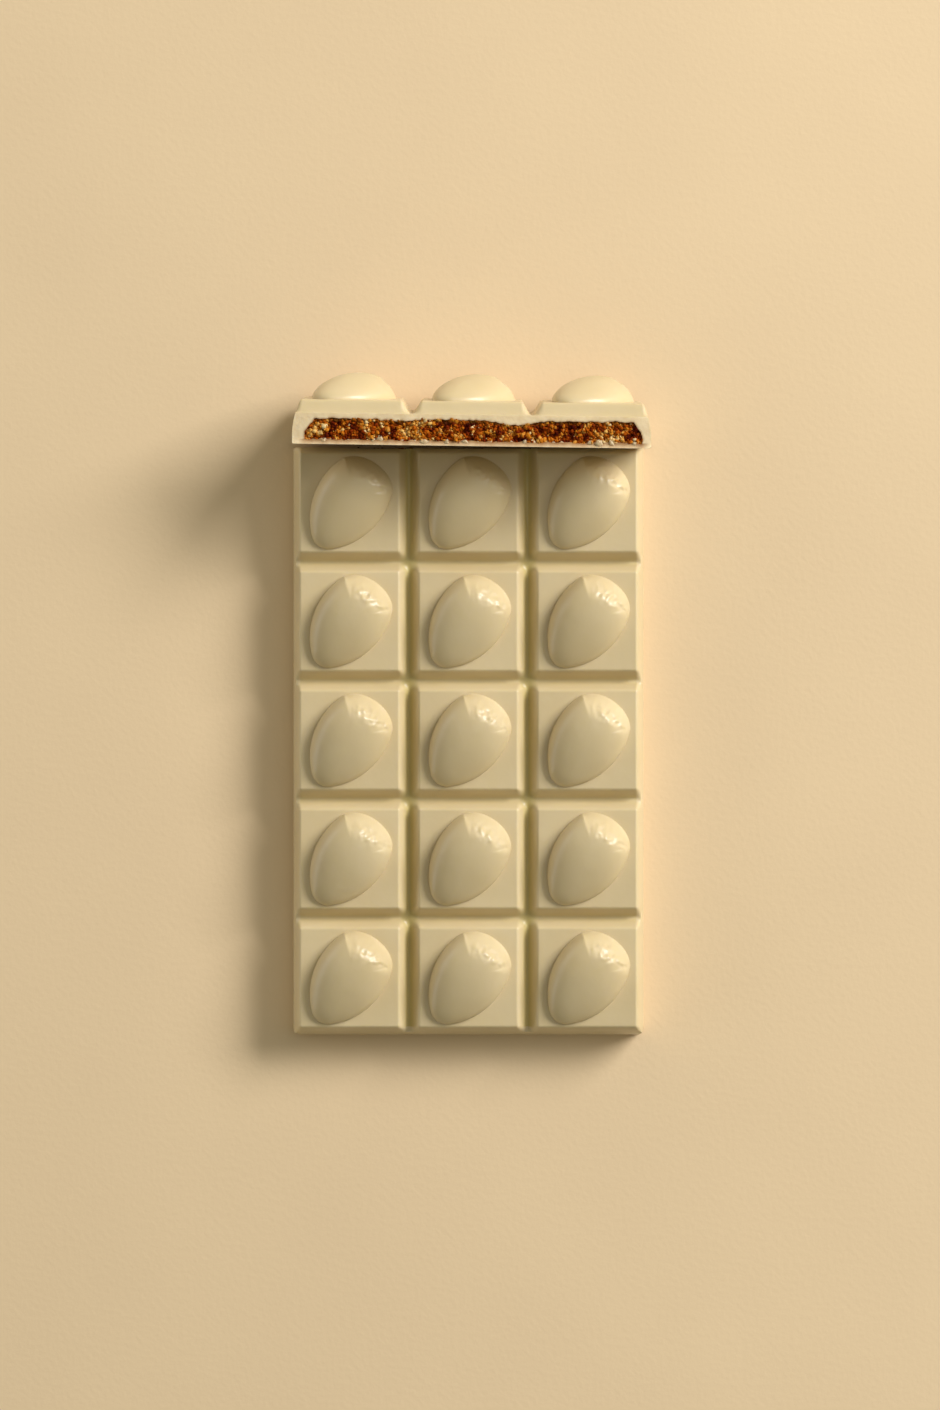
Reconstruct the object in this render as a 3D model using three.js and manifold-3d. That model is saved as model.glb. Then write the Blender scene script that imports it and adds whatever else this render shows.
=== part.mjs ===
// A filled white chocolate tablet, three squares wide, that lies on its back with its last row of
// squares snapped off. The loose row stands on its long edge at the snapped end and leans back on
// it, so that the crumb filling shows between two layers of chocolate.
//
// Millimetres, +Z up. The origin is the middle of the lying piece's underside, +X runs across the
// columns and +Y along the rows, towards the snapped end.

import * as THREE from "three";
import { mergeVertices } from "three/addons/utils/BufferGeometryUtils.js";
import Module from "manifold-3d";

const wasm = await Module();
wasm.setup();

// The mould: square tops, the grooves between them and the walls round the tablet.
const columns = 3;
const lyingRows = 5;
const looseRows = 1;
const pitch = 25.5;
const thickness = 9.3;
const grooveDepth = 2.75;
const grooveHalfWidth = 2;
const grooveRounding = 1;
const grooveOffsets = [-grooveHalfWidth, -0.8, 0, 0.8, grooveHalfWidth];
const sideWallInset = 1.6;
const endWallInset = 2;
const straightWallHeight = 2.2;
const wallCurve = 1.8;
const wallSteps = 3;

const flatSide = pitch - 2 * grooveHalfWidth;
const tabletWidth = (columns - 1) * pitch + flatSide + 2 * sideWallInset;
const rowEdge = flatSide / 2 + endWallInset;

// The almond on each square, with u along it from the tip to the blunt end and v across it. Its
// outline is two wide arcs, a rounded tip and a blunt end that is a part of an ellipse. Its body is
// the dome of a longer almond, a little higher towards +Y, and a slanted facet cuts the dome off
// between a ridge across it and the blunt end. The ridge is the line u = ridgeAt + ridgeSlant * v,
// bent towards the blunt end where v is positive.
const almondTurn = THREE.MathUtils.degToRad(55.4);
const almondShift = new THREE.Vector2(0.47, 0.9);
const almondHalfWidth = 7.64;
const almondArcRadius = 15.6;
const almondTipRadius = 3.7;
const bluntSweep = THREE.MathUtils.degToRad(68);
const bluntStart = 6;
const bluntEnd = 9.05;
const longerStart = 8.5;
const longerEnd = 11.5;
const crown = new THREE.Vector2(-1, 0);
const almondRise = 5.05;
const riseTowardsY = 0.2;
const almondRings = [0.3, 0.6, 0.75, 0.87, 0.96];
const ridgeAt = 5;
const ridgeSlant = -0.05;
const ridgeBend = 0.042;
const facetBulge = 0.75;

// The filling, a slab of pressed crumbs. Its top sags beside each groove that runs along the
// tablet, and its upper edges are cut off at a slant.
const fillingBottom = 1;
const fillingTop = 5.4;
const fillingLeft = -35.3;
const fillingRight = 36;
const fillingSlants = { leftRun: 2.1, leftDrop: 3, rightRun: 1.8, rightDrop: 2.8 };
const fillingSags = [
  { at: -15.6, depth: 0.4, halfWidth: 4 },
  { at: 9.1, depth: 1, halfWidth: 4.2 },
];
const fillingTopStep = 3;
const endCover = 2.3;
const cavityClearance = 0.3;

// The snap. Chocolate breaks in shallow waves and the filling in crumbs, a little deeper in.
const lyingSetback = 1;
const snapCell = 3.2;
const snapWave = 0.22;
const snapJitter = 0.1;
const crumbCell = 1.35;
const crumbJitter = 0.42;
const crumbSetback = 0.35;

// How the loose row stands.
const leanAngle = THREE.MathUtils.degToRad(5.8);
const yawAngle = THREE.MathUtils.degToRad(-0.8);
const looseShift = 0.68;
const looseGap = 1.92;

const lyingLength = endWallInset + flatSide / 2 + (lyingRows - 0.5) * pitch - lyingSetback;
const firstRowAt = rowEdge - lyingLength / 2;
const snapAt = lyingLength / 2;

const mergeDistance = 1e-4;
const whiteChocolate = new THREE.MeshStandardMaterial({
  color: 0xe8d7a9,
  roughness: 0.42,
  metalness: 0,
});
const pressedCrumbs = new THREE.MeshStandardMaterial({
  color: 0xa9652a,
  roughness: 0.95,
  metalness: 0,
});

// A generator of numbers from 0 to 1 that gives the same run for the same seed.
function seededRandom(seed) {
  let state = seed;
  return () => {
    state = (state + 0x6d2b79f5) | 0;
    let mixed = Math.imul(state ^ (state >>> 15), 1 | state);
    mixed = (mixed + Math.imul(mixed ^ (mixed >>> 7), 61 | mixed)) ^ mixed;
    return ((mixed ^ (mixed >>> 14)) >>> 0) / 4294967296;
  };
}

function withSharedVertices(geometry) {
  geometry.deleteAttribute("normal");
  geometry.deleteAttribute("uv");
  return mergeVertices(geometry, mergeDistance);
}

function solidFromGeometry(geometry) {
  const shared = withSharedVertices(geometry);
  return new wasm.Manifold(
    new wasm.Mesh({
      numProp: 3,
      vertProperties: shared.attributes.position.array,
      triVerts: Uint32Array.from(shared.index.array),
    }),
  );
}

function solidFromPoints(points) {
  const geometry = new THREE.BufferGeometry();
  geometry.setAttribute("position", new THREE.Float32BufferAttribute(points.flat(), 3));
  return solidFromGeometry(geometry);
}

function meshFromSolid(solid, name, material) {
  const { vertProperties, triVerts } = solid.getMesh();
  const geometry = new THREE.BufferGeometry();
  geometry.setAttribute("position", new THREE.BufferAttribute(vertProperties, 3));
  geometry.setIndex(new THREE.BufferAttribute(triVerts, 1));
  geometry.computeVertexNormals();
  const mesh = new THREE.Mesh(geometry, material);
  mesh.name = name;
  return mesh;
}

// Lines of the mould along one axis, each with the greatest height that the moulded face has on it.
// Squares lie at 0, pitch, 2 * pitch and so on.
function wallLines(wallFoot, inset, direction) {
  const lines = [];
  for (let step = 0; step <= wallSteps; step++) {
    const share = step / wallSteps;
    lines.push({
      at: wallFoot + direction * inset * share ** wallCurve,
      height: straightWallHeight + share * (thickness - straightWallHeight),
    });
  }
  return direction > 0 ? lines : lines.reverse();
}

function grooveHeight(offset) {
  const rise = (distance) => Math.hypot(distance, grooveRounding) - grooveRounding;
  return thickness - grooveDepth * (1 - rise(offset) / rise(grooveHalfWidth));
}

function grooveLines(centre, offsets) {
  return offsets.map((offset) => ({ at: centre + offset, height: grooveHeight(offset) }));
}

function mouldLines(squares, inset, { snapFirst = false, snapLast = false } = {}) {
  const firstFoot = -flatSide / 2 - inset;
  const lastFoot = (squares - 1) * pitch + flatSide / 2 + inset;
  const lines = snapFirst
    ? grooveLines(-pitch / 2, grooveOffsets.slice(1))
    : wallLines(firstFoot, inset, 1);
  for (let square = 1; square < squares; square++) {
    lines.push(...grooveLines((square - 0.5) * pitch, grooveOffsets));
  }
  const lastLines = snapLast
    ? grooveLines((squares - 0.5) * pitch, grooveOffsets.slice(0, -1))
    : wallLines(lastFoot, inset, -1);
  return [...lines, ...lastLines];
}

// An almond's outline in its own u and v, counterclockwise, with a blunt end between two places.
function almondOutline(start, end) {
  const arcCentre = almondArcRadius - almondHalfWidth;
  const halfChord = Math.sqrt(almondArcRadius ** 2 - start ** 2) - arcCentre;
  const tipCentre = Math.sqrt((almondArcRadius - almondTipRadius) ** 2 - arcCentre ** 2);
  const bluntAngle = Math.acos(start / almondArcRadius);
  const tipAngle = Math.atan2(arcCentre, -tipCentre);
  const alongEllipse = (end - start) / (1 - Math.cos(bluntSweep));
  const acrossEllipse = halfChord / Math.sin(bluntSweep);
  const bluntCurve = new THREE.EllipseCurve(
    end - alongEllipse,
    0,
    alongEllipse,
    acrossEllipse,
    -bluntSweep,
    bluntSweep,
  );
  const stretches = [
    [bluntCurve, 8],
    [new THREE.ArcCurve(0, -arcCentre, almondArcRadius, bluntAngle, tipAngle), 7],
    [new THREE.ArcCurve(-tipCentre, 0, almondTipRadius, tipAngle, 2 * Math.PI - tipAngle), 4],
    [new THREE.ArcCurve(0, arcCentre, almondArcRadius, -tipAngle, -bluntAngle), 7],
  ];
  return stretches.flatMap(([curve, steps]) => curve.getPoints(steps).slice(0, -1));
}

// How far an outline lies from the crown, in the direction of a vector.
function reachFromCrown(outline, vector) {
  const direction = vector.clone().normalize();
  for (let here = 0; here < outline.length; here++) {
    const start = outline[here].clone().sub(crown);
    const side = outline[(here + 1) % outline.length].clone().sub(outline[here]);
    const across = direction.cross(side);
    const alongSide = start.cross(direction) / across;
    const reach = start.cross(side) / across;
    if (reach > 0 && alongSide >= 0 && alongSide <= 1) {
      return reach;
    }
  }
  throw new Error("the crown is outside the outline");
}

const origin = new THREE.Vector2();
const outline = almondOutline(bluntStart, bluntEnd);
const longerOutline = almondOutline(longerStart, longerEnd);

// The share of the way from the crown at which a vector to the outline crosses the ridge.
function ridgeShare(away) {
  const bend = ridgeBend * Math.max(away.y, 0) ** 2;
  const along = away.x - ridgeSlant * away.y;
  const toRidge = ridgeAt - crown.x;
  const insideRoot = along ** 2 - 4 * bend * toRidge;
  if (along <= 0 || insideRoot <= 0) {
    return Infinity;
  }
  return (2 * toRidge) / (along + Math.sqrt(insideRoot));
}

// The almond's height over the flat, a share of the way from the crown to a point of its outline.
function almondHeight(foot, share) {
  const away = foot.clone().sub(crown);
  const towardsY = away.clone().rotateAround(origin, almondTurn).y;
  const longerReach = reachFromCrown(longerOutline, away);
  const dome = (part) => {
    const gauge = Math.min((part * away.length()) / longerReach, 1);
    return (almondRise + riseTowardsY * part * towardsY) * Math.sqrt(1 - gauge ** 2);
  };
  const ridge = ridgeShare(away);
  if (share <= ridge) {
    return dome(share);
  }
  return dome(ridge) * ((1 - share) / (1 - ridge)) ** facetBulge;
}

// One square's top: the flat round the almond, and the almond as rings that shrink to its crown.
function squareTop(points, corners) {
  const centre = corners[0].clone().add(corners[2]).multiplyScalar(0.5).add(almondShift);
  const place = (point) => point.clone().rotateAround(origin, almondTurn).add(centre);
  const foot = outline.map(place);
  const border = [...corners, ...foot];
  for (const face of THREE.ShapeUtils.triangulateShape(corners, [foot])) {
    points.push(...face.map((index) => [border[index].x, border[index].y, thickness]));
  }
  const ringAt = (share) =>
    outline.map((point) => {
      const { x, y } = place(crown.clone().lerp(point, share));
      return [x, y, thickness + (share === 1 ? 0 : almondHeight(point, share))];
    });
  const rings = [ringAt(1), ...almondRings.toReversed().map(ringAt)];
  for (let ring = 1; ring < rings.length; ring++) {
    for (let here = 0; here < foot.length; here++) {
      const next = (here + 1) % foot.length;
      points.push(rings[ring - 1][here], rings[ring - 1][next], rings[ring][next]);
      points.push(rings[ring - 1][here], rings[ring][next], rings[ring][here]);
    }
  }
  const { x, y } = place(crown);
  const top = [x, y, thickness + almondRise];
  const last = rings.at(-1);
  last.forEach((point, here) => points.push(point, last[(here + 1) % last.length], top));
}

// The moulded face's height where two lines cross. The shares of the groove's depth that the lines
// leave standing are multiplied, so that the corners of the squares are rounded.
function crossingHeight(first, second) {
  const drops = [thickness - first, thickness - second];
  const [standingFirst, standingSecond] = drops.map((drop) => 1 - Math.min(drop / grooveDepth, 1));
  return thickness - Math.max(grooveDepth * (1 - standingFirst * standingSecond), ...drops);
}

// A closed block of tablet with its moulded face up, before it is snapped or hollowed.
function mouldedBlock(across, along) {
  const points = [];
  const at = (i, j) => [
    across[i].at,
    along[j].at,
    crossingHeight(across[i].height, along[j].height),
  ];
  const isFlat = (lines, i) => lines[i].height === thickness && lines[i + 1].height === thickness;
  const middle = (lines, i) => (lines[i].height + lines[i + 1].height) / 2;
  for (let i = 0; i < across.length - 1; i++) {
    for (let j = 0; j < along.length - 1; j++) {
      const [a, b, c, d] = [at(i, j), at(i + 1, j), at(i + 1, j + 1), at(i, j + 1)];
      if (isFlat(across, i) && isFlat(along, j)) {
        squareTop(points, [a, b, c, d].map(([x, y]) => new THREE.Vector2(x, y)));
        continue;
      }
      const height = crossingHeight(middle(across, i), middle(along, j));
      const missAlongAC = Math.abs((a[2] + c[2]) / 2 - height);
      const missAlongBD = Math.abs((b[2] + d[2]) / 2 - height);
      points.push(...(missAlongAC <= missAlongBD ? [a, b, c, a, c, d] : [a, b, d, b, c, d]));
    }
  }
  const [lastI, lastJ] = [across.length - 1, along.length - 1];
  const rim = [
    ...across.map((line, i) => at(i, 0)),
    ...along.slice(1).map((line, j) => at(lastI, j + 1)),
    ...across.slice(1).map((line, i) => at(lastI - 1 - i, lastJ)),
    ...along.slice(1, -1).map((line, j) => at(0, lastJ - 1 - j)),
  ];
  const underside = [
    (across[0].at + across[lastI].at) / 2,
    (along[0].at + along[lastJ].at) / 2,
    0,
  ];
  rim.forEach((upper, here) => {
    const nextUpper = rim[(here + 1) % rim.length];
    const lower = [upper[0], upper[1], 0];
    const nextLower = [nextUpper[0], nextUpper[1], 0];
    points.push(lower, nextLower, nextUpper, lower, nextUpper, upper);
    points.push(nextLower, lower, underside);
  });
  return solidFromPoints(points);
}

// A block that takes away what lies past a snap. Its rough face looks to -Y and is at y = 0.
function snapCutter({ cell, wave, jitter, seed }) {
  const width = tabletWidth + 10;
  const height = thickness + almondRise + 6;
  const length = 12;
  const random = seededRandom(seed);
  const across = Math.round(width / cell);
  const upward = Math.round(height / cell);
  const box = withSharedVertices(
    new THREE.BoxGeometry(width, length, height, across, 1, upward),
  );
  const position = box.attributes.position;
  for (let vertex = 0; vertex < position.count; vertex++) {
    if (position.getY(vertex) < 0) {
      const swell = wave * Math.sin(position.getX(vertex) * 0.31 + position.getZ(vertex) * 0.4);
      position.setY(vertex, -length / 2 + swell + jitter * (2 * random() - 1));
    }
  }
  box.translate(0, length / 2, height / 2 - 3);
  return solidFromGeometry(box);
}

// The filling's section across the tablet, grown on every side by the clearance.
function fillingSection(clearance) {
  const top = (x) =>
    fillingTop +
    clearance -
    fillingSags.reduce(
      (sum, sag) => sum + sag.depth * Math.exp(-(((x - sag.at) / sag.halfWidth) ** 2)),
      0,
    );
  const left = fillingLeft - clearance;
  const right = fillingRight + clearance;
  const bottom = fillingBottom - clearance;
  const topLeft = fillingLeft + fillingSlants.leftRun;
  const topRight = fillingRight - fillingSlants.rightRun;
  const outlinePoints = [
    new THREE.Vector2(left, bottom),
    new THREE.Vector2(right, bottom),
    new THREE.Vector2(right, fillingTop - fillingSlants.rightDrop),
  ];
  const topSteps = Math.round((topRight - topLeft) / fillingTopStep);
  for (let step = 0; step <= topSteps; step++) {
    const x = THREE.MathUtils.lerp(topRight, topLeft, step / topSteps);
    outlinePoints.push(new THREE.Vector2(x, top(x)));
  }
  outlinePoints.push(new THREE.Vector2(left, fillingTop - fillingSlants.leftDrop));
  return new THREE.Shape(outlinePoints);
}

// The filling as a bar that ends at y = 0 and runs back to -Y.
function fillingBar(length, clearance) {
  const options = { depth: length, bevelEnabled: false, steps: 1 };
  const bar = new THREE.ExtrudeGeometry(fillingSection(clearance), options);
  return solidFromGeometry(bar.rotateX(Math.PI / 2));
}

const pastTheSnap = 4;
const turnRound = [0, 0, 180];

// The lying piece: its outer end at -Y, its snapped end at +Y.
function lyingPiece() {
  const sideLines = mouldLines(columns, sideWallInset);
  const rowLines = mouldLines(lyingRows, endWallInset, { snapLast: true });
  const chocolateCut = snapCutter({ cell: snapCell, wave: snapWave, jitter: snapJitter, seed: 11 });
  const crumbCut = snapCutter({ cell: crumbCell, wave: 0, jitter: crumbJitter, seed: 23 });
  const outside = mouldedBlock(sideLines, rowLines).translate([
    -((columns - 1) / 2) * pitch,
    firstRowAt,
    0,
  ]);
  const hollowLength = lyingLength - endCover;
  const hollow = fillingBar(hollowLength + cavityClearance + pastTheSnap, cavityClearance);
  const shell = outside
    .subtract(chocolateCut.translate([0, snapAt, 0]))
    .subtract(hollow.translate([0, snapAt + pastTheSnap, 0]));
  const filling = fillingBar(hollowLength + pastTheSnap, 0)
    .translate([0, snapAt + pastTheSnap, 0])
    .subtract(crumbCut.translate([0, snapAt - crumbSetback, 0]));
  const piece = new THREE.Group();
  piece.add(meshFromSolid(shell, "bar_shell", whiteChocolate));
  piece.add(meshFromSolid(filling, "bar_filling", pressedCrumbs));
  return piece;
}

// The loose row as it lay in the mould, with its outer edge at y = 0 and its snapped edge at -Y.
function loosePiece() {
  const sideLines = mouldLines(columns, sideWallInset);
  const rowLines = mouldLines(looseRows, endWallInset, { snapFirst: true });
  const chocolateCut = snapCutter({ cell: snapCell, wave: snapWave, jitter: snapJitter, seed: 37 });
  const crumbCut = snapCutter({ cell: crumbCell, wave: 0, jitter: crumbJitter, seed: 41 });
  const looseSnapAt = -(rowEdge + pitch / 2);
  const outside = mouldedBlock(sideLines, rowLines).translate([
    -((columns - 1) / 2) * pitch,
    -rowEdge,
    0,
  ]);
  const hollow = fillingBar(pastTheSnap - looseSnapAt, cavityClearance);
  const shell = outside
    .subtract(chocolateCut.rotate(turnRound).translate([0, looseSnapAt, 0]))
    .subtract(hollow.translate([0, cavityClearance - endCover, 0]));
  const filling = fillingBar(pastTheSnap - looseSnapAt, 0)
    .translate([0, -endCover, 0])
    .subtract(crumbCut.rotate(turnRound).translate([0, looseSnapAt + crumbSetback, 0]));
  const piece = new THREE.Group();
  piece.add(meshFromSolid(shell, "strip_shell", whiteChocolate));
  piece.add(meshFromSolid(filling, "strip_filling", pressedCrumbs));
  return piece;
}

const tablet = new THREE.Group();
tablet.add(lyingPiece());

const standing = new THREE.Group();
const loose = loosePiece();
loose.rotation.x = leanAngle - Math.PI / 2;
standing.add(loose);
standing.position.set(looseShift, snapAt + looseGap, 0);
standing.rotation.z = yawAngle;
tablet.add(standing);

export default tablet;
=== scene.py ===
import math

import bmesh
import bpy
import numpy as np
from mathutils import Matrix, Vector, geometry, noise


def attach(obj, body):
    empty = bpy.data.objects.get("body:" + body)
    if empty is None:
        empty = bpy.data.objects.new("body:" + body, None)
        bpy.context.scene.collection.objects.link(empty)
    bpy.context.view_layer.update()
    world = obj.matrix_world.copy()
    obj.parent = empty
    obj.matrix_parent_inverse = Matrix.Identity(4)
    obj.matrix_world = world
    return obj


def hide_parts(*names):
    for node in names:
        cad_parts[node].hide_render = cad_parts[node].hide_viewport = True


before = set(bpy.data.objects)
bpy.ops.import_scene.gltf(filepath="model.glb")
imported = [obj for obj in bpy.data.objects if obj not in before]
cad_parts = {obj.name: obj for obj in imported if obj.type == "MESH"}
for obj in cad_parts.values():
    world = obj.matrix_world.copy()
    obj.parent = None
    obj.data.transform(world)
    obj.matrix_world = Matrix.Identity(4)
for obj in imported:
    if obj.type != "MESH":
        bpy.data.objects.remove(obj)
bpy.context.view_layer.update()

# Everything is worked out in millimetres, in the part's own frame, and scaled to metres when a
# mesh is made. The sizes down to LOOSE_PLACE are the ones that the solids are built from.
MM = 0.001
COLUMNS = 3
LYING_ROWS = 5
LOOSE_ROWS = 1
PITCH = 25.5
THICKNESS = 9.3
GROOVE_DEPTH = 2.75
GROOVE_HALF_WIDTH = 2
GROOVE_ROUNDING = 1
SIDE_WALL_INSET = 1.6
END_WALL_INSET = 2
STRAIGHT_WALL_HEIGHT = 2.2
WALL_CURVE = 1.8
FLAT_SIDE = PITCH - 2 * GROOVE_HALF_WIDTH
TABLET_WIDTH = (COLUMNS - 1) * PITCH + FLAT_SIDE + 2 * SIDE_WALL_INSET
ROW_EDGE = FLAT_SIDE / 2 + END_WALL_INSET

# The almond on each square, in its own u, which points to its blunt end, and v.
ALMOND_TURN = math.radians(55.4)
ALMOND_SHIFT = Vector((0.47, 0.9))
ALMOND_HALF_WIDTH = 7.64
ALMOND_ARC_RADIUS = 15.6
ALMOND_TIP_RADIUS = 3.7
BLUNT_SWEEP = math.radians(68)
BLUNT_START = 6
BLUNT_END = 9.05
LONGER_START = 8.5
LONGER_END = 11.5
CROWN = np.array((-1, 0))
ALMOND_RISE = 5.05
RISE_TOWARDS_Y = 0.2
RIDGE_AT = 5
RIDGE_SLANT = -0.05
RIDGE_BEND = 0.042
FACET_BULGE = 0.75

# The filling's section, with its slanted corners as (run, drop) and the dips in its top as
# (place, depth, half width).
FILLING_BOTTOM = 1
FILLING_TOP = 5.4
FILLING_LEFT = -35.3
FILLING_RIGHT = 36
LEFT_SLANT = (2.1, 3)
RIGHT_SLANT = (1.8, 2.8)
FILLING_SAGS = ((-15.6, 0.4, 4), (9.1, 1, 4.2))
END_COVER = 2.3

# Where the lying piece is snapped, and how the loose row stands against it.
LYING_SETBACK = 1
LEAN_ANGLE = math.radians(5.8)
YAW_ANGLE = math.radians(-0.8)
LOOSE_SHIFT = 0.68
LOOSE_GAP = 1.92
LYING_LENGTH = END_WALL_INSET + FLAT_SIDE / 2 + (LYING_ROWS - 0.5) * PITCH - LYING_SETBACK
FIRST_ROW_AT = ROW_EDGE - LYING_LENGTH / 2
SNAP_AT = LYING_LENGTH / 2
LOOSE_SNAP_AT = -(ROW_EDGE + PITCH / 2)
LOOSE_PLACE = (
    Matrix.Translation((LOOSE_SHIFT, SNAP_AT + LOOSE_GAP, 0))
    @ Matrix.Rotation(YAW_ANGLE, 4, "Z")
    @ Matrix.Rotation(LEAN_ANGLE - math.pi / 2, 4, "X")
)

# What the fine surface adds to the solids: rounded edges and corners, and close steps. EDGE_RUN is
# short enough for the almond's foot and its margin to stay on the flat that it leaves.
EDGE_SOFTNESS = 0.92
EDGE_RUN = 0.5
CORNER_ROUNDING = 1.3
BASE_ROUNDING = 0.3
BASE_LEVELS = 4
UNDERSIDE_MARGIN = 0.6
GROOVE_STEPS = 32
WALL_STEPS = 14
EDGE_STEPS = 4
PAST_GROOVE_MIDDLE = 1.2
OUTLINE_STEPS = {"blunt": 44, "side": 22, "tip": 14}
ALMOND_RINGS = 40
FOOT_MARGIN = 0.1
FOOT_CRISPING = 0.3
RIDGE_SOFTNESS = (0.8, 3.4)
RIDGE_SOFTENING = 1.5
CRISPEST_RIDGE_AT = -1
SOFT_RIDGE_REACH = 4.5
RIPPLE_HEIGHT = 0.5
RIPPLE_LENGTH = 0.9
RIPPLE_MIDDLE = 0.22
RIPPLE_SPREAD = 0.36
RIPPLES_BELOW = 2.6
RIPPLE_FADE = 0.7
WELD_DISTANCE = 1e-4
SHARP_ANGLE = math.radians(38)

# How much painted shade a groove across the tablet gets beside one along it. Deep in the grooves the
# moulded face is painted darker, as shade.
ACROSS_SHADE_SHARE = 0.35

# Noise is zero where every coordinate is a whole number, so whole seeds are moved off by this.
OFF_GRID = 0.5

# The snapped faces: waves as (height, length), the ragged edge of the filling, the dust of crumb
# beside it, and the thin lip along the back.
CHOCOLATE_WAVES = ((0.3, 11), (0.12, 3), (0.04, 0.9))
CRUMB_WAVES = ((0.3, 3.4), (0.34, 1.3), (0.16, 0.5))
CHOCOLATE_CELL = 0.3
CRUMB_CELL = 0.28
CRUMB_SETBACK = 0.35
FILLING_TOP_POINTS = 70
BORDER_STEP = 0.3
BORDER_CRUMB = 1.1
BORDER_RAGGEDNESS = 0.3
BORDER_OVERLAP = 0.05
CAVITY_GROWTH = 0.02
DUST_BELOW = 1.4
DUST_ELSEWHERE = 0.35
FACE_REACH = 1.5
LIP_HEIGHT = 0.35
LIP_WIDTH = 0.4
LIP_WAVE = 3
LIP_SEED = 8
PAST_THE_SNAP = 4
CUTTER_LENGTH = 12
CUTTER_SIDE_MARGIN = 5
CUTTER_HEIGHT_MARGIN = 3

# The crumbs on the filling's faces, and the white lumps beside the loose row's filling.
LYING_GRAINS = 2500
LOOSE_GRAINS = 6500
SMALLEST_GRAIN = 0.1
GRAIN_SPREAD = 0.36
GRAIN_SMALLNESS = 2.4
LARGE_GRAIN = 0.36
GRAIN_SINK = (-0.2, 0.6)
GRAIN_PROPORTIONS = (0.6, 1.3)
GRAIN_LUMPINESS = 0.35
GRAIN_AREA_MARGIN = 1
LUMPS_FROM = FILLING_LEFT + 3
LUMPS_TO = FILLING_RIGHT - 2
LUMP_SPACING = 3.3
LUMP_RADII = (0.3, 0.75)
LUMP_HEIGHTS = (0.7, 1.1)
LUMP_SINK = 0.08
LUMP_FLATNESS = 0.22

LYING_FACE_SEED = 11
LYING_CRUMB_SEED = 23
LOOSE_FACE_SEED = 37
LOOSE_CRUMB_SEED = 41
LUMP_SEED = 5
BORDER_SEED = 1

# Without this, noise_vector starts from the clock, and the filling's border is different each run.
noise.seed_set(BORDER_SEED)

# The filling's tints from its darkest crumbs to its palest. A shade is a place in this row. It varies
# over clumps and over larger patches, as (strength, width, height), and from crumb to crumb.
CRUMB_TINTS = (
    (0.050, 0.0025, 0.0002),
    (0.175, 0.0180, 0.0006),
    (0.390, 0.0730, 0.0020),
    (0.610, 0.2100, 0.0140),
    (0.770, 0.4400, 0.1100),
    (0.800, 0.5900, 0.2900),
)
MIDDLE_SHADE = 2.1
CLUMPS = (3.2, 1.3, 1.1)
PATCHES = (1.6, 5, 4)
SHADE_SPREAD = 0.6
PALE_CHANCE = 0.01
# Painted shade: crumbs just under the filling's top, in the shade of the chocolate over them, are tinted
# olive. These give the tint, how far down it reaches, and its most.
OLIVE_SHADE_TINT = (0.27, 0.12, 0.012)
OLIVE_SHADE_REACH = 0.9
MOST_OLIVE_SHADE = 0.5

# The other tints, as (darker, paler). The lumps' mesh points carry NO_TINT, which isn't read.
MOULDED_TINTS = ((0.675, 0.530, 0.298), (0.705, 0.565, 0.334))
# Painted shade: the darker, more saturated tint of the moulded face deep in the grooves.
GROOVE_SHADE_TINTS = ((0.560, 0.430, 0.150), (0.585, 0.460, 0.170))
SNAPPED_TINTS = ((0.83, 0.635, 0.375), (0.90, 0.725, 0.465))
DUSTY_TINTS = ((0.30, 0.11, 0.018), (0.42, 0.19, 0.045))
PRESSED_TINTS = ((0.08, 0.006, 0.0006), (0.26, 0.045, 0.002))
LUMP_TINTS = ((0.52, 0.34, 0.17), (0.70, 0.50, 0.28))
BOARD_TINTS = ((0.825, 0.62, 0.385), (0.855, 0.645, 0.40))
NO_TINT = (1, 1, 1)

FOCAL_LENGTH = 105.94
SENSOR_WIDTH = 36
CAMERA_PLACE = (0.33, 8, 900)
FLOOR_HALF_SIDE = 4000
FLOOR_SINK = 0.02


def smooth_min(value, limit, softness):
    """The lower of the two, with the corner where they cross rounded off."""
    overlap = np.clip(1 - np.abs(value - limit) / softness, 0, None)
    return np.minimum(value, limit) - softness * overlap**2 / 4


def wall_lines(foot, inset, direction):
    """Places along one axis from the foot of a wall to the flat behind it, with their heights."""
    climb = inset * np.linspace(0, 1, WALL_STEPS + 1) ** WALL_CURVE
    crest = np.linspace(inset, inset + EDGE_RUN, EDGE_STEPS + 1)[1:]
    depth = np.concatenate([climb, crest])
    raw = STRAIGHT_WALL_HEIGHT + (THICKNESS - STRAIGHT_WALL_HEIGHT) * (depth / inset) ** (1 / WALL_CURVE)
    lines = np.column_stack([foot + direction * depth, smooth_min(raw, THICKNESS, EDGE_SOFTNESS)])
    return lines if direction > 0 else lines[::-1]


def groove_lines(centre, first, last):
    """Places across a groove, given as offsets from its middle, with their heights."""
    reach = GROOVE_HALF_WIDTH + EDGE_RUN
    steps = round(GROOVE_STEPS * (last - first) / (2 * reach))
    offset = np.linspace(first, last, steps + 1)
    rise = np.hypot(offset, GROOVE_ROUNDING) - GROOVE_ROUNDING
    full_rise = math.hypot(GROOVE_HALF_WIDTH, GROOVE_ROUNDING) - GROOVE_ROUNDING
    raw = THICKNESS - GROOVE_DEPTH * (1 - rise / full_rise)
    return np.column_stack([centre + offset, smooth_min(raw, THICKNESS, EDGE_SOFTNESS)])


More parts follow.
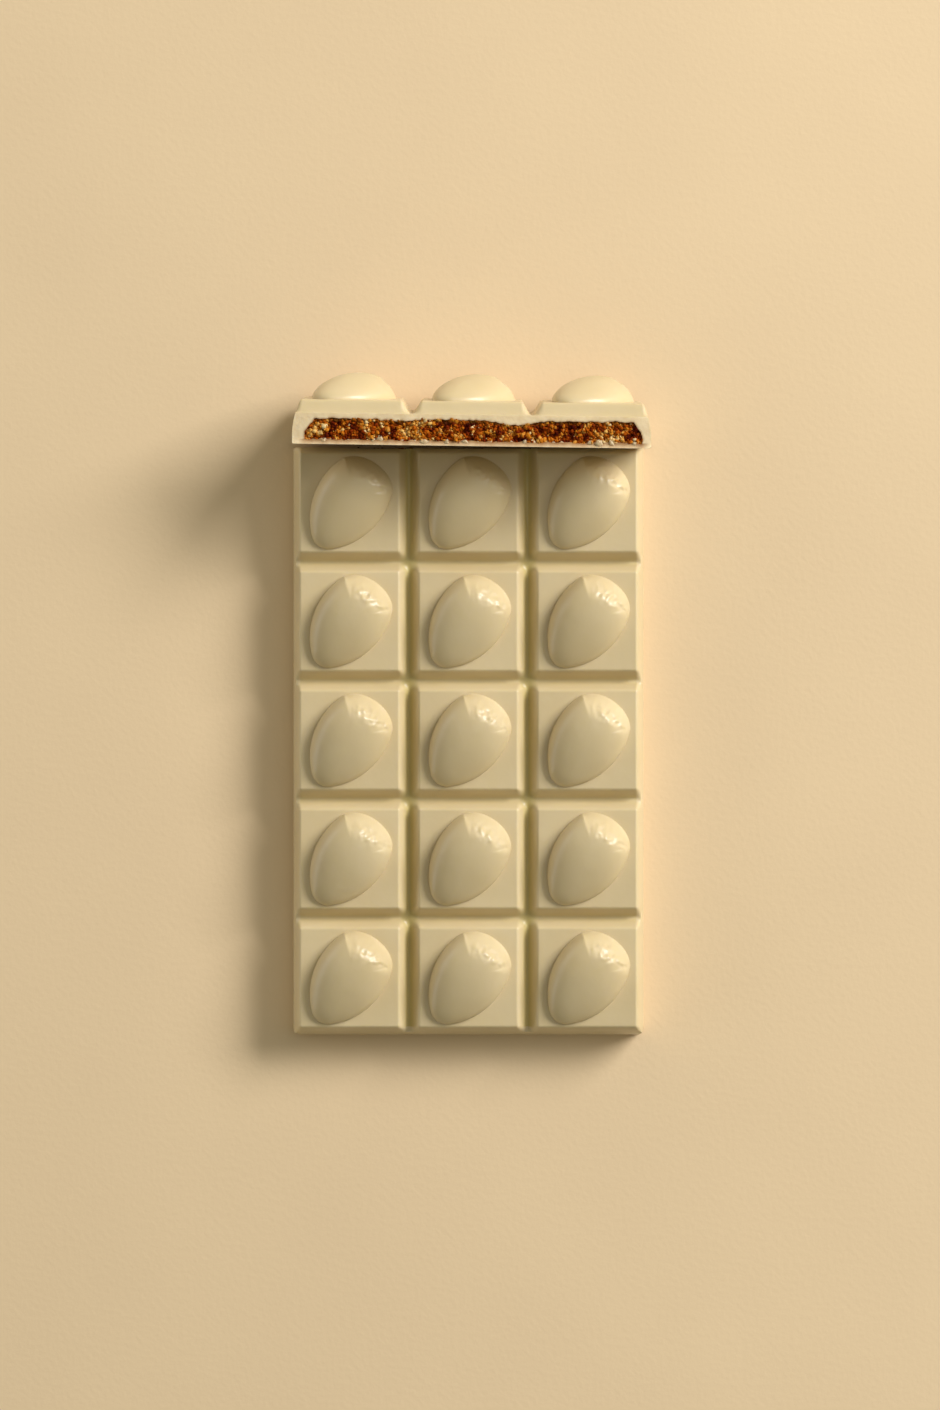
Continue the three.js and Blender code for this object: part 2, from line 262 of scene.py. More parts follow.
def mould_lines(squares, inset, snap_first=False, snap_last=False):
    """All lines of the mould along one axis, where the squares lie at 0, PITCH, 2 * PITCH and so on."""
    reach = GROOVE_HALF_WIDTH + EDGE_RUN
    first_foot = -FLAT_SIDE / 2 - inset
    last_foot = (squares - 1) * PITCH + FLAT_SIDE / 2 + inset
    if snap_first:
        lines = [groove_lines(-PITCH / 2, -PAST_GROOVE_MIDDLE, reach)]
    else:
        lines = [wall_lines(first_foot, inset, 1)]
    for square in range(1, squares):
        lines.append(groove_lines((square - 0.5) * PITCH, -reach, reach))
    if snap_last:
        lines.append(groove_lines((squares - 0.5) * PITCH, -reach, PAST_GROOVE_MIDDLE))
    else:
        lines.append(wall_lines(last_foot, inset, -1))
    return np.concatenate(lines)


def arc(centre, radii, first, last, steps):
    """Points on an arc of an ellipse, without the last one."""
    angle = np.linspace(first, last, steps, endpoint=False)
    return np.column_stack([centre[0] + radii[0] * np.cos(angle), centre[1] + radii[1] * np.sin(angle)])


def almond_outline(start, end):
    """An almond in its own u and v, counterclockwise, with a blunt end from u = start to u = end."""
    arc_centre = ALMOND_ARC_RADIUS - ALMOND_HALF_WIDTH
    half_chord = math.sqrt(ALMOND_ARC_RADIUS**2 - start**2) - arc_centre
    tip_centre = math.sqrt((ALMOND_ARC_RADIUS - ALMOND_TIP_RADIUS) ** 2 - arc_centre**2)
    blunt_angle = math.acos(start / ALMOND_ARC_RADIUS)
    tip_angle = math.atan2(arc_centre, -tip_centre)
    along_ellipse = (end - start) / (1 - math.cos(BLUNT_SWEEP))
    ellipse_radii = (along_ellipse, half_chord / math.sin(BLUNT_SWEEP))
    arc_radii = (ALMOND_ARC_RADIUS, ALMOND_ARC_RADIUS)
    tip_radii = (ALMOND_TIP_RADIUS, ALMOND_TIP_RADIUS)
    side_steps = OUTLINE_STEPS["side"]
    return np.concatenate([
        arc((end - along_ellipse, 0), ellipse_radii, -BLUNT_SWEEP, BLUNT_SWEEP, OUTLINE_STEPS["blunt"]),
        arc((0, -arc_centre), arc_radii, blunt_angle, tip_angle, side_steps),
        arc((-tip_centre, 0), tip_radii, tip_angle, 2 * math.pi - tip_angle, OUTLINE_STEPS["tip"]),
        arc((0, arc_centre), arc_radii, -tip_angle, -blunt_angle, side_steps),
    ])


def turned(points):
    """Points from the almond's u and v to the square's x and y."""
    cos, sin = math.cos(ALMOND_TURN), math.sin(ALMOND_TURN)
    rotation = np.array([[cos, sin], [-sin, cos]])
    return np.asarray(points) @ rotation + np.array(ALMOND_SHIFT)


def almond_rays():
    """For each point of the foot: the way to it from the crown, and how far off the longer foot is."""
    longer = almond_outline(LONGER_START, LONGER_END) - CROWN
    bearing = np.arctan2(longer[:, 1], longer[:, 0])
    order = np.argsort(bearing)
    reach = np.hypot(longer[:, 0], longer[:, 1])
    away = almond_outline(BLUNT_START, BLUNT_END) - CROWN
    foot_bearing = np.arctan2(away[:, 1], away[:, 0])
    return away, np.interp(foot_bearing, bearing[order], reach[order], period=2 * math.pi)


def almond_height(share, away, longer_reach, seed):
    """Heights over the flat, a share of the way from the crown to each point of the foot.

    The body is the dome of a longer almond. A slanted facet cuts it off, past a ridge across it.
    """
    towards_y = away @ (math.sin(ALMOND_TURN), math.cos(ALMOND_TURN))
    whole_gauge = np.hypot(away[:, 0], away[:, 1]) / longer_reach

    def dome(part):
        gauge = np.clip(part * whole_gauge, 0, 1)
        return (ALMOND_RISE + RISE_TOWARDS_Y * part * towards_y) * np.sqrt(1 - gauge**2)

    ridge = ridge_share(away)
    crosses = ridge < 1
    # A way that never crosses the ridge gets any share below 1, and its facet isn't used.
    ridge = np.where(crosses, ridge, 0.5)
    facet = dome(ridge) * ((1 - share) / (1 - ridge)) ** FACET_BULGE
    sideways = np.clip(np.abs(ridge * away[:, 1] - CRISPEST_RIDGE_AT) / SOFT_RIDGE_REACH, 0, 1)
    crispest, softest = RIDGE_SOFTNESS
    softness = crispest + (softest - crispest) * sideways**RIDGE_SOFTENING
    softness = np.minimum(softness, dome(ridge)) * (1 - share) ** FOOT_CRISPING
    faceted = smooth_min(dome(share), facet, softness) + ripples(share, away, ridge, seed)
    return np.where(crosses, np.maximum(faceted, 0), dome(share))


def ridge_share(away):
    """The share of the way to each point of the foot at which it crosses the ridge, over 1 if it doesn't.

    The ridge is the line u = RIDGE_AT + RIDGE_SLANT * v, bent towards the blunt end where v is positive.
    """
    bend = RIDGE_BEND * np.maximum(away[:, 1], 0) ** 2
    along = away[:, 0] - RIDGE_SLANT * away[:, 1]
    to_ridge = RIDGE_AT - CROWN[0]
    inside_root = along**2 - 4 * bend * to_ridge
    meets = (inside_root > 0) & (along > 0)
    return np.where(meets, 2 * to_ridge / (along + np.sqrt(np.where(meets, inside_root, 1))), 2)


def ripples(share, away, ridge, seed):
    """Small dents past the ridge, up to v = RIPPLES_BELOW, where the mould's almond is wrinkled."""
    past = (share - ridge) / (1 - ridge)
    near_ridge = np.exp(-(((past - RIPPLE_MIDDLE) / RIPPLE_SPREAD) ** 2))
    wrinkled = 1 / (1 + np.exp((share * away[:, 1] - RIPPLES_BELOW) / RIPPLE_FADE))
    waves = [noise.noise(Vector((*(share * way / RIPPLE_LENGTH), seed + OFF_GRID))) for way in away]
    return RIPPLE_HEIGHT * near_ridge * wrinkled * np.array(waves)


def band(outer, inner):
    """Faces between two closed rings of as many points, given by their indices."""
    following = [*range(1, len(outer)), 0]
    return [(outer[a], outer[b], inner[b], inner[a]) for a, b in enumerate(following)]


def square_top(seed):
    """Points and faces of one square's top round its own middle: the flat and the almond on it."""
    half = FLAT_SIDE / 2 - EDGE_RUN
    corners = np.array([(-half, -half), (half, -half), (half, half), (-half, half)])
    away, longer_reach = almond_rays()
    crown = turned([CROWN])[0]
    from_crown = turned(away + CROWN) - crown
    count = len(from_crown)
    margin = 1 + FOOT_MARGIN / np.linalg.norm(from_crown, axis=1, keepdims=True)
    levels = [(crown + from_crown * margin, np.zeros(count)), (crown + from_crown, np.zeros(count))]
    for turn in np.linspace(math.pi / 2, 0, ALMOND_RINGS, endpoint=False)[1:]:
        share = math.sin(turn)
        levels.append((crown + from_crown * share, almond_height(share, away, longer_reach, seed)))
    points = [(x, y, THICKNESS) for x, y in corners]
    for ring, height in levels:
        points += np.column_stack([ring, THICKNESS + height]).tolist()
    points.append((crown[0], crown[1], THICKNESS + ALMOND_RISE))

    border = [[Vector((x, y, 0)) for x, y in loop] for loop in (corners, levels[0][0])]
    faces = [tuple(face) for face in geometry.tessellate_polygon(border)]
    top = len(points) - 1
    rings = [list(range(first, first + count)) for first in range(len(corners), top, count)]
    for outer, inner in zip(rings, rings[1:]):
        faces += band(outer, inner)
    innermost = rings[-1]
    faces += [(here, following, top) for here, following in zip(innermost, innermost[1:] + innermost[:1])]
    return np.array(points), faces


def rounded_corners(x, y, first, last):
    """Moves the points near the corners of a block so that its corners are round in plan."""
    middle = (np.array(first) + last) / 2
    half = (np.array(last) - first) / 2
    signs = np.sign(x - middle[0]), np.sign(y - middle[1])
    a = np.clip(1 - (half[0] - np.abs(x - middle[0])) / CORNER_ROUNDING, 0, 1)
    b = np.clip(1 - (half[1] - np.abs(y - middle[1])) / CORNER_ROUNDING, 0, 1)
    shift_x = a * (np.sqrt(1 - b**2 / 2) - 1)
    shift_y = b * (np.sqrt(1 - a**2 / 2) - 1)
    return x + signs[0] * shift_x * CORNER_ROUNDING, y + signs[1] * shift_y * CORNER_ROUNDING


def added(name, data):
    """A new object in the scene for a mesh, a camera or a lamp."""
    thing = bpy.data.objects.new(name, data)
    bpy.context.scene.collection.objects.link(thing)
    return thing


def mesh_object(name, points, faces, material):
    """A piece from points in millimetres, welded where its patches meet, with smooth shading."""
    mesh = bpy.data.meshes.new(name)
    mesh.from_pydata(np.asarray(points).tolist(), [], faces)
    work = bmesh.new()
    work.from_mesh(mesh)
    bmesh.ops.remove_doubles(work, verts=work.verts, dist=WELD_DISTANCE)
    bmesh.ops.recalc_face_normals(work, faces=work.faces)
    work.to_mesh(mesh)
    work.free()
    mesh.transform(Matrix.Scale(MM, 4))
    mesh.materials.append(material)
    mesh.shade_smooth()
    return added(name, mesh)


def grid_face(i, j, rows):
    """A face of a grid of points that is stored column by column, with so many rows in each."""
    corner = i * rows + j
    return corner, corner + rows, corner + rows + 1, corner + 1


def grid_rim(columns, rows):
    """Indices of the points once round such a grid."""
    rim = [i * rows for i in range(columns)]
    rim += [(columns - 1) * rows + j for j in range(1, rows)]
    rim += [i * rows + rows - 1 for i in range(columns - 2, -1, -1)]
    rim += list(range(rows - 2, 0, -1))
    return rim


def moulded_block(name, across, along, offset, material):
    """A closed block of tablet, face up, before it is snapped or hollowed."""
    drop_x = THICKNESS - across[:, 1][:, None]
    drop_y = THICKNESS - along[:, 1][None, :]
    spared_x = 1 - np.minimum(drop_x / GROOVE_DEPTH, 1)
    spared_y = 1 - np.minimum(drop_y / GROOVE_DEPTH, 1)
    rounded = GROOVE_DEPTH * (1 - spared_x * spared_y)
    drop = np.maximum(np.maximum(drop_x, drop_y), rounded)
    x, y = np.meshgrid(across[:, 0], along[:, 0], indexing="ij")
    x, y = rounded_corners(x, y, (across[0, 0], along[0, 0]), (across[-1, 0], along[-1, 0]))
    points = np.column_stack([x.ravel(), y.ravel(), (THICKNESS - drop).ravel()]).tolist()
    rows = len(along)
    flat_step = PITCH / 2
    flat_x = np.diff(across[:, 0]) > flat_step
    flat_y = np.diff(along[:, 0]) > flat_step
    faces = []
    for i in range(len(across) - 1):
        for j in range(rows - 1):
            if flat_x[i] and flat_y[j]:
                # The count of points so far is another seed for each square's wrinkles.
                first = len(points)
                middle = (across[i : i + 2, 0].mean(), along[j : j + 2, 0].mean(), 0)
                top_points, top_faces = square_top(first)
                points += (top_points + middle).tolist()
                faces += [tuple(first + index for index in face) for face in top_faces]
            else:
                faces.append(grid_face(i, j, rows))
    add_underside(points, faces, grid_rim(len(across), rows))
    return mesh_object(name, np.array(points) + offset, faces, material)


def add_underside(points, faces, rim):
    """Closes a block from its rim down to its flat underside, past a small rounding."""
    rim_points = np.array([points[index] for index in rim])
    middle = (rim_points.min(axis=0) + rim_points.max(axis=0)) / 2
    half = (rim_points.max(axis=0) - rim_points.min(axis=0)) / 2
    turns = np.linspace(0, math.pi / 2, BASE_LEVELS)
    levels = [(BASE_ROUNDING * (1 - math.cos(t)), BASE_ROUNDING * (1 - math.sin(t))) for t in turns]
    levels.append((BASE_ROUNDING + UNDERSIDE_MARGIN, 0))
    upper = rim
    for inset, height in levels:
        shrink = 1 - inset / half[:2]
        ring = middle[:2] + (rim_points[:, :2] - middle[:2]) * shrink
        lower = list(range(len(points), len(points) + len(rim)))
        points += [(x, y, height) for x, y in ring]
        faces += band(upper, lower)
        upper = lower
    faces.append(tuple(upper))


def rough_height(x, z, waves, seed):
    """How far a snapped face swells at a point of it."""
    return sum(
        height * noise.noise(Vector((x / length, z / length, seed + length)))
        for height, length in waves
    )


def lip_height(x, z):
    """How far the snapped face's edge over the flat back stands out: a thin wavy rim."""
    unevenness = 1 + noise.noise(Vector((x / LIP_WAVE, 0, LIP_SEED)))
    return LIP_HEIGHT * unevenness * math.exp(-((max(z, 0) / LIP_WIDTH) ** 2))


def snap_cutter(at, direction, waves, cell, seed, material, lip=0):
    """A block that takes away what lies past a snap at y = at, in the given direction."""
    width = TABLET_WIDTH + 2 * CUTTER_SIDE_MARGIN
    height = THICKNESS + ALMOND_RISE + 2 * CUTTER_HEIGHT_MARGIN
    xs = np.linspace(-width / 2, width / 2, round(width / cell) + 1)
    zs = np.linspace(-CUTTER_HEIGHT_MARGIN, height - CUTTER_HEIGHT_MARGIN, round(height / cell) + 1)
    near = [
        (x, at + rough_height(x, z, waves, seed) + direction * lip * lip_height(x, z), z)
        for x in xs
        for z in zs
    ]
    far_y = at + direction * CUTTER_LENGTH
    rim = grid_rim(len(xs), len(zs))
    far = [(near[index][0], far_y, near[index][2]) for index in rim]
    far_rim = list(range(len(near), len(near) + len(rim)))
    faces = [grid_face(i, j, len(zs)) for i in range(len(xs) - 1) for j in range(len(zs) - 1)]
    faces += band(rim, far_rim)
    faces.append(tuple(far_rim))
    return mesh_object("cutter", near + far, faces, material)


def filling_section(growth):
    """The filling's outline across the tablet as (x, z), counterclockwise, grown on every side.

    Its sides are broken up into short steps that crumbs push in and out.
    """
    top_left = FILLING_LEFT + LEFT_SLANT[0]
    top_right = FILLING_RIGHT - RIGHT_SLANT[0]
    outline = [
        (FILLING_LEFT - growth, FILLING_BOTTOM - growth),
        (FILLING_RIGHT + growth, FILLING_BOTTOM - growth),
        (FILLING_RIGHT + growth, FILLING_TOP - RIGHT_SLANT[1]),
    ]
    for x in np.linspace(top_right, top_left, FILLING_TOP_POINTS):
        outline.append((x, filling_top(x) + growth))
    outline.append((FILLING_LEFT - growth, FILLING_TOP - LEFT_SLANT[1]))
    ragged = []
    for (x1, z1), (x2, z2) in zip(outline, outline[1:] + outline[:1]):
        steps = max(1, round(math.hypot(x2 - x1, z2 - z1) / BORDER_STEP))
        for share in np.linspace(0, 1, steps, endpoint=False):
            x, z = x1 + (x2 - x1) * share, z1 + (z2 - z1) * share
            push = noise.noise_vector(Vector((x, z, 0)) / BORDER_CRUMB) * BORDER_RAGGEDNESS
            ragged.append((x + push.x, z + push.y))
    return ragged


def filling_bar(name, first, last, material, growth=0):
    """A bar with the filling's section from y = first to y = last."""
    section = filling_section(growth)
    points = [(x, y, z) for y in (first, last) for x, z in section]
    near = list(range(len(section)))
    far = list(range(len(section), len(points)))
    faces = [tuple(near), tuple(far), *band(near, far)]
    return mesh_object(name, points, faces, material)


def cut(piece, *cutters):
    """Takes the cutters away from the piece, whose new faces keep the cutters' materials."""
    for cutter in cutters:
        boolean = piece.modifiers.new("cut", "BOOLEAN")
        boolean.operation = "DIFFERENCE"
        boolean.solver = "MANIFOLD"
        boolean.material_mode = "TRANSFER"
        boolean.object = cutter
    whole = piece.data
    evaluated = piece.evaluated_get(bpy.context.evaluated_depsgraph_get())
    piece.data = bpy.data.meshes.new_from_object(evaluated)
    piece.data.name = piece.name
    piece.modifiers.clear()
    bpy.data.meshes.remove(whole)
    for cutter in cutters:
        bpy.data.meshes.remove(cutter.data)
    piece.data.set_sharp_from_angle(angle=SHARP_ANGLE)


def places_of(piece):
    """The piece's mesh points in millimetres."""
    places = np.empty(3 * len(piece.data.vertices))
    piece.data.vertices.foreach_get("co", places)
    return places.reshape(-1, 3) / MM


def mark_points(piece, name, shares):
    """Keeps a share from 0 to 1 for each mesh point, which a material reads by its name."""
    values = np.repeat(np.asarray(shares)[:, None], 4, axis=1)
    marks = piece.data.color_attributes.new(name, "FLOAT_COLOR", "POINT")
    marks.data.foreach_set("color", values.ravel())


def mark_groove_shade(shell, first, last):
    """Marks how much painted shade each point gets, more the deeper it lies in a groove, between the walls
    at y = first and y = last.

    The grooves that run across the tablet get less of this shade than the ones that run along it.
    """
    x, y, z = places_of(shell).T
    inside = (np.abs(x) < TABLET_WIDTH / 2 - SIDE_WALL_INSET) & (y > first) & (y < last)
    depth = np.clip((THICKNESS - z) / GROOVE_DEPTH, 0, 1)
    off_middle = (np.abs(x) - PITCH / 2) / GROOVE_HALF_WIDTH
    weight = ACROSS_SHADE_SHARE + (1 - ACROSS_SHADE_SHARE) * np.clip(1 - off_middle**2, 0, 1)
    # The share is painted shade, kept in the mesh points for the moulded finish.
    mark_points(shell, "groove_shade", np.where(inside, weight * depth**2, 0))


def dust_by_filling(shell, at):
    """Marks each point of the snapped face at y = at with how much crumb is smeared over it."""
    places = places_of(shell)
    on_face = np.abs(places[:, 1] - at) < FACE_REACH
    face_places = places[on_face][:, ::2]
    border = np.array(filling_section(0))
    distance = np.linalg.norm(face_places[:, None] - border[None], axis=2).min(axis=1)
    reach = np.where(face_places[:, 1] < FILLING_BOTTOM, DUST_BELOW, DUST_ELSEWHERE)
    dust = np.zeros(len(places))
    dust[on_face] = np.clip(1 - distance / reach, 0, 1)
    mark_points(shell, "crumb_dust", dust)


def filling_top(x):
    """How high the filling reaches at a place across the tablet."""
    return FILLING_TOP - sum(
        depth * math.exp(-(((x - at) / half_width) ** 2))
        for at, depth, half_width in FILLING_SAGS
    )


def varied_shade(x, z, seed, variation):
    """How much paler the crumbs are around a point, with variation as (strength, width, height)."""
    strength, width, height = variation
    return strength * noise.noise(Vector((x / width, z / height, seed + OFF_GRID)))


def crumb_tint(x, z, seed, random):
    """A tint for a crumb: clumps share a shade, a few crumbs are pale, and those at the top get a painted
    olive shade.
    """
    palest = len(CRUMB_TINTS) - 1
    shade = MIDDLE_SHADE + varied_shade(x, z, seed, CLUMPS) + varied_shade(x, z, seed, PATCHES)
    shade += random.normal() * SHADE_SPREAD
    if random.random() < PALE_CHANCE:
        shade = palest
    shade = min(max(shade, 0), palest)
    darker = min(int(shade), palest - 1)
    share = shade - darker
    tint = np.array(CRUMB_TINTS[darker]) * (1 - share) + np.array(CRUMB_TINTS[darker + 1]) * share
    # Painted shade: the crumbs darken towards olive near the filling's top, as shade under the chocolate.
    olive = MOST_OLIVE_SHADE * max(0, 1 - max(filling_top(x) - z, 0) / OLIVE_SHADE_REACH)
    return tint * (1 - olive) + np.array(OLIVE_SHADE_TINT) * olive


def is_inside(section, x, z):
    """Whether a point lies inside a closed outline: its borders to one side of it are odd in number."""
    inside = False
    for (x1, z1), (x2, z2) in zip(section, section[1:] + section[:1]):
        if (z1 > z) != (z2 > z) and x < x1 + (z - z1) * (x2 - x1) / (z2 - z1):
            inside = not inside
    return inside


def unit_ball(subdivisions):
    """Points and faces of a ball with a radius of 1."""
    ball = bmesh.new()
    bmesh.ops.create_icosphere(ball, subdivisions=subdivisions, radius=1)
    points = np.array([vertex.co[:] for vertex in ball.verts])
    faces = [tuple(vertex.index for vertex in face.verts) for face in ball.faces]
    ball.free()
    return points, faces


def scattered_grains(name, places, radii, colours, seed, material, flatness=1):
    """Irregular grains as one mesh, each with its own tint, turn and proportions."""
    random = np.random.default_rng(seed)
    coarse_ball = unit_ball(1)
    fine_ball = unit_ball(2)
    points = []
    faces = []
    tints = []
    for place, radius, colour in zip(places, radii, colours):
        ball_points, ball_faces = fine_ball if radius > LARGE_GRAIN else coarse_ball
        proportions = random.uniform(*GRAIN_PROPORTIONS, 3)
        lumps = 1 + random.uniform(-GRAIN_LUMPINESS, GRAIN_LUMPINESS, len(ball_points))
        angle = random.uniform(0, 2 * math.pi)
        turn = Matrix.Rotation(angle, 3, Vector(random.normal(size=3)).normalized())
        grain = (ball_points * lumps[:, None] * proportions) @ np.array(turn).T * radius
        grain = grain * (1, flatness, 1) + place
        first = len(points)
        points += grain.tolist()
        faces += [tuple(first + index for index in face) for face in ball_faces]
        tints += [(*colour, 1)] * len(ball_points)
    mesh = bpy.data.meshes.new(name)
    mesh.from_pydata((np.array(points) * MM).tolist(), [], faces)
    tint = mesh.color_attributes.new("crumb_tint", "FLOAT_COLOR", "POINT")
    tint.data.foreach_set("color", np.array(tints).ravel())
    mesh.materials.append(material)
    mesh.shade_smooth()
    return added(name, mesh)


def crumbs_on_face(name, count, at, direction, seed, material):
    """Grains over the snapped face of the filling at y = at, which looks in the given direction."""
    random = np.random.default_rng(seed)
    section = filling_section(BORDER_OVERLAP)
    places = []
    radii = []
    colours = []
    while len(places) < count:
        x = random.uniform(FILLING_LEFT - GRAIN_AREA_MARGIN, FILLING_RIGHT + GRAIN_AREA_MARGIN)
        z = random.uniform(FILLING_BOTTOM - GRAIN_AREA_MARGIN, FILLING_TOP + GRAIN_AREA_MARGIN)
        if not is_inside(section, x, z):
            continue
        radius = SMALLEST_GRAIN + GRAIN_SPREAD * random.random() ** GRAIN_SMALLNESS
        swell = rough_height(x, z, CRUMB_WAVES, seed)
        sunk = random.uniform(*GRAIN_SINK) * radius
        places.append((x, at + swell - direction * sunk, z))
        radii.append(radius)
        colours.append(crumb_tint(x, z, seed, random))
    return scattered_grains(name, places, radii, colours, seed, material)


def node_tree(name):
    """A new material, its nodes and its shader."""
    material = bpy.data.materials.new(name)
    material.use_nodes = True
    tree = material.node_tree
    return material, tree, tree.nodes["Principled BSDF"]


def noise_node(tree, coordinates, scale, detail=2):
    """A noise texture; scale is in features per millimetre."""
    texture = tree.nodes.new("ShaderNodeTexNoise")
    texture.inputs["Scale"].default_value = scale / MM
    texture.inputs["Detail"].default_value = detail
    tree.links.new(coordinates, texture.inputs["Vector"])
    return texture.outputs["Fac"]


def tint_between(tree, factor, low, high, colours):
    """A colour that goes from one to the other as factor goes from low to high."""
    ramp = tree.nodes.new("ShaderNodeValToRGB")
    ramp.color_ramp.elements[0].position = low
    ramp.color_ramp.elements[1].position = high
    ramp.color_ramp.elements[0].color = (*colours[0], 1)
    ramp.color_ramp.elements[1].color = (*colours[1], 1)
    tree.links.new(factor, ramp.inputs["Fac"])
    return ramp.outputs["Color"]


def mixed_by_mark(tree, name, plain, marked):
    """A colour that goes from plain to marked with the share that the mesh points carry."""
    mark = tree.nodes.new("ShaderNodeVertexColor")
    mark.layer_name = name
    mix = tree.nodes.new("ShaderNodeMixRGB")
    tree.links.new(mark.outputs["Color"], mix.inputs["Fac"])
    tree.links.new(plain, mix.inputs["Color1"])
    tree.links.new(marked, mix.inputs["Color2"])
    return mix.outputs["Color"]


def add_bump(tree, shader, layers):
    """Bump from several heights, given as (height, distance in millimetres)."""
    normal = None
    for height, distance in layers:
        bump = tree.nodes.new("ShaderNodeBump")
        bump.inputs["Distance"].default_value = distance * MM
        tree.links.new(height, bump.inputs["Height"])
        if normal:
            tree.links.new(normal, bump.inputs["Normal"])
        normal = bump.outputs["Normal"]
    tree.links.new(normal, shader.inputs["Normal"])


def set_subsurface(shader, weight, radii):
    """Light that spreads under the surface, by the given distances in millimetres."""
    shader.inputs["Subsurface Weight"].default_value = weight
    shader.inputs["Subsurface Radius"].default_value = radii
    shader.inputs["Subsurface Scale"].default_value = MM


def object_coordinates(tree):
    """Each surface point's own place, in metres, so that patterns keep their real size."""
    return tree.nodes.new("ShaderNodeTexCoord").outputs["Object"]


def moulded_chocolate():
    """The satin face that the mould leaves: slightly wavy, faintly mottled, with fine grain, and painted
    shade deep in the grooves.
    """
    material, tree, shader = node_tree("moulded_chocolate")
    place = object_coordinates(tree)
    mottling = noise_node(tree, place, 0.07, detail=3)
    face = tint_between(tree, mottling, 0.3, 0.7, MOULDED_TINTS)
    # Painted shade: deep in the grooves the face is mixed towards a darker tint.
    groove = tint_between(tree, mottling, 0.3, 0.7, GROOVE_SHADE_TINTS)
    colour = mixed_by_mark(tree, "groove_shade", face, groove)
    tree.links.new(colour, shader.inputs["Base Color"])
    gloss = tree.nodes.new("ShaderNodeMapRange")
    gloss.inputs["To Min"].default_value = 0.38
    gloss.inputs["To Max"].default_value = 0.5
    tree.links.new(noise_node(tree, place, 0.25, detail=4), gloss.inputs["Value"])
    tree.links.new(gloss.outputs["Result"], shader.inputs["Roughness"])
    shader.inputs["IOR"].default_value = 1.45
    shader.inputs["Coat Weight"].default_value = 0.35
    shader.inputs["Coat Roughness"].default_value = 0.22
    shader.inputs["Coat IOR"].default_value = 1.45
    set_subsurface(shader, 0.3, (0.9, 0.95, 0.5))
    layers = (
        (noise_node(tree, place, 0.35), 0.06),
        (noise_node(tree, place, 5), 0.004),
    )
    add_bump(tree, shader, layers)
    return material


def snapped_chocolate():
    """The broken face: matte, paler and less yellow, with fine grit, and crumb smeared over it."""
    material, tree, shader = node_tree("snapped_chocolate")
    place = object_coordinates(tree)
    specks = noise_node(tree, place, 0.8, detail=3)
    clean = tint_between(tree, specks, 0.3, 0.75, SNAPPED_TINTS)
    dusty = tint_between(tree, specks, 0.3, 0.75, DUSTY_TINTS)
    tree.links.new(mixed_by_mark(tree, "crumb_dust", clean, dusty), shader.inputs["Base Color"])
    shader.inputs["Roughness"].default_value = 0.75
    set_subsurface(shader, 0.3, (0.9, 0.8, 0.5))
    layers = (
        (noise_node(tree, place, 1.2, detail=3), 0.08),
        (noise_node(tree, place, 7), 0.008),
    )
    add_bump(tree, shader, layers)
    return material


def pressed_crumbs():
    """What lies between the grains: dark, rough and dull."""
    material, tree, shader = node_tree("pressed_crumbs")
    place = object_coordinates(tree)
    patches = noise_node(tree, place, 1.5, detail=5)
    colour = tint_between(tree, patches, 0.35, 0.7, PRESSED_TINTS)
    tree.links.new(colour, shader.inputs["Base Color"])
    shader.inputs["Roughness"].default_value = 0.8
    shader.inputs["Specular IOR Level"].default_value = 0.04
    add_bump(tree, shader, ((noise_node(tree, place, 4, detail=4), 0.12),))
    return material


def crumb_grains():
    """Toasted grains, each with the tint that its own mesh points carry."""
    material, tree, shader = node_tree("crumb_grains")
    tint = tree.nodes.new("ShaderNodeVertexColor")
    tint.layer_name = "crumb_tint"
    tree.links.new(tint.outputs["Color"], shader.inputs["Base Color"])
    place = object_coordinates(tree)
    shader.inputs["Roughness"].default_value = 0.6
    shader.inputs["Specular IOR Level"].default_value = 0.04
    add_bump(tree, shader, ((noise_node(tree, place, 9), 0.03),))
    return material


def white_lump():
    """Milky lumps along the lower layer of chocolate."""
    material, tree, shader = node_tree("white_lump")
    place = object_coordinates(tree)
    veins = noise_node(tree, place, 1.8, detail=3)
    colour = tint_between(tree, veins, 0.3, 0.7, LUMP_TINTS)
    tree.links.new(colour, shader.inputs["Base Color"])
    shader.inputs["Roughness"].default_value = 0.45
    set_subsurface(shader, 0.4, (1.2, 1.0, 0.8))
    add_bump(tree, shader, ((noise_node(tree, place, 4), 0.04),))
    return material


def add_camera():
    """Straight above the bar, at the height that the standing row's perspective gives."""
    data = bpy.data.cameras.new("camera")
    data.lens = FOCAL_LENGTH
    data.sensor_width = SENSOR_WIDTH
    data.clip_start = 0.01
    data.clip_end = 100
    camera = added("camera", data)
    camera.location = Vector(CAMERA_PLACE) * MM
    bpy.context.scene.camera = camera


def add_floor():
    """A pale warm sheet of board under the bar."""
    material, tree, shader = node_tree("board")
    place = object_coordinates(tree)
    fibres = noise_node(tree, place, 0.02, detail=4)
    colour = tint_between(tree, fibres, 0.3, 0.7, BOARD_TINTS)
    tree.links.new(colour, shader.inputs["Base Color"])
    shader.inputs["Roughness"].default_value = 0.9
    add_bump(tree, shader, ((noise_node(tree, place, 0.8, detail=4), 0.05),))
    signs = ((-1, -1), (1, -1), (1, 1), (-1, 1))
    corners = [(x * FLOOR_HALF_SIDE, y * FLOOR_HALF_SIDE, -FLOOR_SINK) for x, y in signs]
    mesh_object("floor", corners, [(0, 1, 2, 3)], material)


def add_lamp(name, direction, distance, size, power):
    """A soft rectangular lamp that looks at the bar from the given direction; sizes in metres."""
    data = bpy.data.lights.new(name, "AREA")
    data.shape = "RECTANGLE"
    data.size, data.size_y = size
    data.energy = power
    lamp = added(name, data)
    towards = Vector(direction).normalized()
    lamp.location = towards * distance
    lamp.rotation_euler = towards.to_track_quat("Z", "Y").to_euler()


